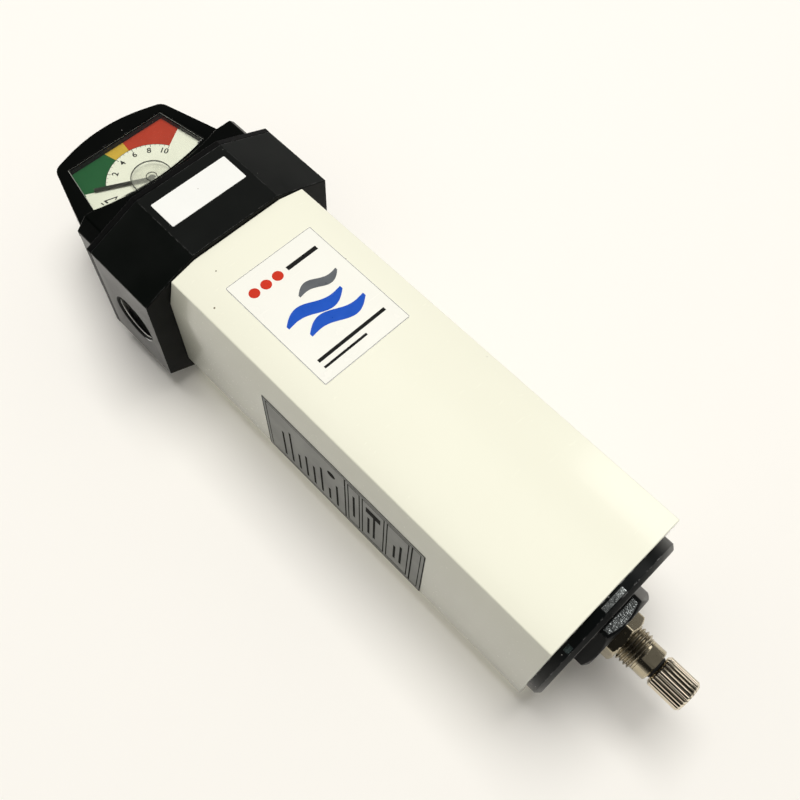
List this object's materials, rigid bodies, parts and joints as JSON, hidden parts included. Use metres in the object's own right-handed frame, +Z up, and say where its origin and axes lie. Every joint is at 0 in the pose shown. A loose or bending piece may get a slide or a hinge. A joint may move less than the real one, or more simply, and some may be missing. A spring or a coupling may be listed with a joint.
{
  "type": "compressed air filter",
  "caption": "In-line coalescing filter for compressed air with a faceted screw-in bowl, an internal float drain with a ribbed knob, and a dial gauge for pressure drop on the head.",
  "frame": {"origin": "where the axis of the two pipe ports crosses the axis of the bowl, inside the head", "axes": "+Z up along the bowl axis towards the gauge, -Y towards the front with the dial and labels, +X along the pipe line from inlet to outlet"},
  "size_m": [0.0864, 0.0718, 0.3123],
  "materials": {
    "black_paint": "satin black powder coat on die-cast aluminium",
    "white_paint": "smooth cream-white powder coat on extruded aluminium",
    "black_plastic": "moulded black nylon",
    "white_plastic": "moulded acetal",
    "label_white": "gloss white vinyl label",
    "label_silver": "silver-grey polyester rating plate",
    "black_oxide": "black-oxide steel",
    "rubber": "black nitrile",
    "steel": "stainless steel",
    "brass": "turned brass",
    "nickel": "nickel-plated brass",
    "magnet": "plated ferrite magnet",
    "needle_grey": "dark grey pressed pointer",
    "dial_card": "printed cream dial card",
    "clear_lens": "clear moulded window",
    "filter_media": "pleated and wrapped glass microfibre",
    "drain_layer": "blue foam drain layer"
  },
  "bodies": {
    "body": {"head": "black_paint", "head_label": "label_white", "element_top_cap": "black_plastic", "element_seal": "rubber", "element_core": "steel", "element_media": "filter_media", "element_support": "steel", "element_sock": "drain_layer", "element_bottom_cap": "black_plastic", "tie_rod": "steel", "tie_washer": "rubber", "tie_nut": "steel", "gauge_gasket": "rubber", "gauge_base": "black_paint", "gauge_screws": "black_oxide", "gauge_housing": "black_plastic", "gauge_lens": "clear_lens", "gauge_dial": "dial_card", "gauge_bush": "brass", "gauge_cover": "black_plastic", "cover_screws": "steel", "gauge_sleeve": "brass", "gauge_spring": "steel"},
    "piston": {"gauge_piston": "magnet"},
    "needle": {"gauge_needle": "needle_grey", "needle_magnet": "magnet"},
    "bowl_ring": {"bowl_seal": "rubber"},
    "bowl": {"bowl_tube": "white_paint", "front_label": "label_white", "side_label": "label_silver", "bottom_cap": "black_paint", "cap_seal": "rubber", "drain_gasket": "rubber", "drain_body": "nickel", "drain_nut": "nickel", "float_pin": "steel"},
    "float": {"float_arm": "white_plastic", "float": "white_plastic", "valve_pad": "rubber"},
    "knob_ring": {"stem_seal": "rubber"},
    "knob": {"drain_stem": "nickel", "drain_knob": "nickel"}
  },
  "joints": [
    {"name": "bowl_lower", "type": "slide", "parent": "body", "child": "bowl_ring", "axis": [0, 0, -1], "range_m": [0, 0.01]},
    {"name": "bowl_unscrew", "type": "hinge", "parent": "bowl_ring", "child": "bowl", "pos_m": [0, 0, -0.1], "axis": [0, 0, -1], "range_deg": [0, 1800]},
    {"name": "knob_lower", "type": "slide", "parent": "bowl", "child": "knob_ring", "axis": [0, 0, -1], "range_m": [0, 0.0015]},
    {"name": "knob_turn", "type": "hinge", "parent": "knob_ring", "child": "knob", "pos_m": [0, 0, -0.23], "axis": [0, 0, -1], "range_deg": [0, 720]},
    {"name": "float_swing", "type": "hinge", "parent": "bowl", "child": "float", "pos_m": [-0.013, 0, -0.1732], "axis": [0, -1, 0], "range_deg": [0, 11]},
    {"name": "piston_push", "type": "slide", "parent": "body", "child": "piston", "axis": [0, 0, 1], "range_m": [0, 0.01], "stiffness_N_per_m": 600, "springref_m": -0.002, "deforming": ["gauge_spring"]},
    {"name": "needle_turn", "type": "hinge", "parent": "body", "child": "needle", "pos_m": [0, -0.0111, 0.0414], "axis": [0, 1, 0], "range_deg": [0, 122]}
  ],
  "couplings": [
    {"joint": "bowl_lower", "follows": "bowl_unscrew", "m_per_rad": 0.0003183},
    {"joint": "knob_lower", "follows": "knob_turn", "m_per_rad": 0.00011936},
    {"joint": "needle_turn", "follows": "piston_push", "rad_per_m": 212.9}
  ]
}
